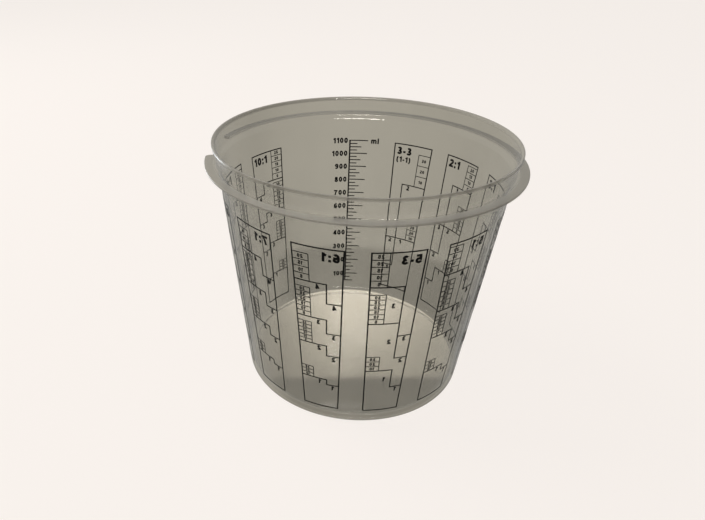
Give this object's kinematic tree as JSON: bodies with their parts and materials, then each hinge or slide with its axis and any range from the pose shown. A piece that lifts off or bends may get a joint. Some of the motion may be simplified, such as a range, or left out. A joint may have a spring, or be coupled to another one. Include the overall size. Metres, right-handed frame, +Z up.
{
  "type": "resin mixing cup",
  "caption": "Translucent tapered cup with a stepped collar, a lid bead and a flange, printed with a millilitre scale and mixing ratio charts.",
  "frame": {"origin": "centre of the foot ring, on the surface that the cup stands on", "axes": "+Z up along the axis of the cup, +Y through the upright line of the millilitre scale"},
  "size_m": [0.1472, 0.1472, 0.1227],
  "materials": {
    "translucent_plastic": "gloss",
    "print_ink": "matte"
  },
  "bodies": {
    "root": {"cup": "translucent_plastic", "ml_scale": "print_ink", "ratio_chart_1_to_1": "print_ink", "ratio_chart_2_to_1": "print_ink", "ratio_chart_3_to_1": "print_ink", "ratio_chart_4_to_1": "print_ink", "ratio_chart_5_to_1": "print_ink", "ratio_chart_5_to_3": "print_ink", "ratio_chart_6_to_1": "print_ink", "ratio_chart_7_to_1": "print_ink", "ratio_chart_8_to_1": "print_ink", "ratio_chart_9_to_1": "print_ink", "ratio_chart_10_to_1": "print_ink"}
  },
  "joints": []
}
